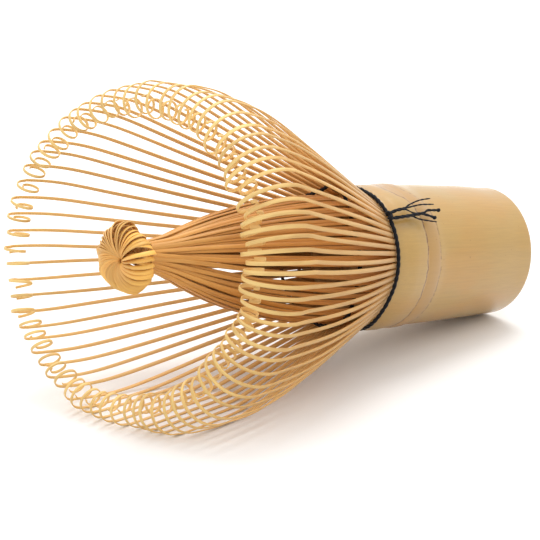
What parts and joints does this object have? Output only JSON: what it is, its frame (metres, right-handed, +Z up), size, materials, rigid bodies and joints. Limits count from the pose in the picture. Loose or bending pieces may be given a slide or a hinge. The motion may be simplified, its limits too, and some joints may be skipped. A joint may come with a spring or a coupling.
{
  "type": "bamboo tea whisk",
  "caption": "Bamboo tea whisk lying on its side: a round hollow handle, a flared crown of curled outer tines, an inner bundle ending in a knot, and thread at the neck.",
  "frame": {"origin": "middle of the whisk's footprint on the table, with the table at height zero", "axes": "+Z up, -X towards the tips of the tines, which are raised by about 11 degrees; +X towards the end of the handle"},
  "size_m": [0.0984, 0.065, 0.0589],
  "materials": {
    "bamboo_skin": "glossy yellow bamboo skin with fine lengthwise fibres",
    "bamboo_tines": "thin split bamboo, satin",
    "bamboo_pith_side": "thin split bamboo, darker inner side, satin",
    "bamboo_knot": "twisted bamboo fibres, satin",
    "black_cotton": "matt two-ply cotton thread"
  },
  "bodies": {
    "whisk": {"handle": "bamboo_skin", "inner_tines_1": "bamboo_pith_side", "inner_tines_2": "bamboo_pith_side", "inner_tines_3": "bamboo_pith_side", "inner_tines_4": "bamboo_pith_side", "inner_tines_5": "bamboo_pith_side", "inner_tines_6": "bamboo_pith_side", "inner_knot": "bamboo_knot", "outer_thread": "black_cotton", "inner_thread": "black_cotton", "thread_knot": "black_cotton", "thread_tail_long": "black_cotton", "thread_tail_short": "black_cotton"},
    "tines_01": {"outer_tines_01": "bamboo_tines"},
    "tines_02": {"outer_tines_02": "bamboo_tines"},
    "tines_03": {"outer_tines_03": "bamboo_tines"},
    "tines_04": {"outer_tines_04": "bamboo_tines"},
    "tines_05": {"outer_tines_05": "bamboo_tines"},
    "tines_06": {"outer_tines_06": "bamboo_tines"},
    "tines_07": {"outer_tines_07": "bamboo_tines"},
    "tines_08": {"outer_tines_08": "bamboo_tines"},
    "tines_09": {"outer_tines_09": "bamboo_tines"},
    "tines_10": {"outer_tines_10": "bamboo_tines"},
    "tines_11": {"outer_tines_11": "bamboo_tines"},
    "tines_12": {"outer_tines_12": "bamboo_tines"}
  },
  "joints": [
    {"name": "flex_01", "type": "hinge", "parent": "whisk", "child": "tines_01", "pos_m": [0.01212, 0.00059, 0.03062], "axis": [-0.0499, 0.9659, -0.254], "range_deg": [-2.5, 4], "stiffness_Nm_per_rad": 0.09},
    {"name": "flex_02", "type": "hinge", "parent": "whisk", "child": "tines_02", "pos_m": [0.01151, 0.00606, 0.02752], "axis": [-0.1365, 0.7071, -0.6938], "range_deg": [-2.5, 4], "stiffness_Nm_per_rad": 0.09},
    {"name": "flex_03", "type": "hinge", "parent": "whisk", "child": "tines_03", "pos_m": [0.01045, 0.00921, 0.02215], "axis": [-0.1864, 0.2588, -0.9478], "range_deg": [-2.5, 4], "stiffness_Nm_per_rad": 0.09},
    {"name": "flex_04", "type": "hinge", "parent": "whisk", "child": "tines_04", "pos_m": [0.00923, 0.00921, 0.01596], "axis": [-0.1864, -0.2588, -0.9478], "range_deg": [-2.5, 4], "stiffness_Nm_per_rad": 0.09},
    {"name": "flex_05", "type": "hinge", "parent": "whisk", "child": "tines_05", "pos_m": [0.00818, 0.00606, 0.01059], "axis": [-0.1365, -0.7071, -0.6938], "range_deg": [-2.5, 4], "stiffness_Nm_per_rad": 0.09},
    {"name": "flex_06", "type": "hinge", "parent": "whisk", "child": "tines_06", "pos_m": [0.00757, 0.00059, 0.00749], "axis": [-0.0499, -0.9659, -0.254], "range_deg": [-2.5, 4], "stiffness_Nm_per_rad": 0.09},
    {"name": "flex_07", "type": "hinge", "parent": "whisk", "child": "tines_07", "pos_m": [0.00757, -0.00573, 0.00749], "axis": [0.0499, -0.9659, 0.254], "range_deg": [-2.5, 4], "stiffness_Nm_per_rad": 0.09},
    {"name": "flex_08", "type": "hinge", "parent": "whisk", "child": "tines_08", "pos_m": [0.00818, -0.0112, 0.01059], "axis": [0.1365, -0.7071, 0.6938], "range_deg": [-2.5, 4], "stiffness_Nm_per_rad": 0.09},
    {"name": "flex_09", "type": "hinge", "parent": "whisk", "child": "tines_09", "pos_m": [0.00923, -0.01435, 0.01596], "axis": [0.1864, -0.2588, 0.9478], "range_deg": [-2.5, 4], "stiffness_Nm_per_rad": 0.09},
    {"name": "flex_10", "type": "hinge", "parent": "whisk", "child": "tines_10", "pos_m": [0.01045, -0.01435, 0.02215], "axis": [0.1864, 0.2588, 0.9478], "range_deg": [-2.5, 4], "stiffness_Nm_per_rad": 0.09},
    {"name": "flex_11", "type": "hinge", "parent": "whisk", "child": "tines_11", "pos_m": [0.01151, -0.0112, 0.02752], "axis": [0.1365, 0.7071, 0.6938], "range_deg": [-2.5, 4], "stiffness_Nm_per_rad": 0.09},
    {"name": "flex_12", "type": "hinge", "parent": "whisk", "child": "tines_12", "pos_m": [0.01212, -0.00573, 0.03062], "axis": [0.0499, 0.9659, 0.254], "range_deg": [-2.5, 4], "stiffness_Nm_per_rad": 0.09}
  ]
}
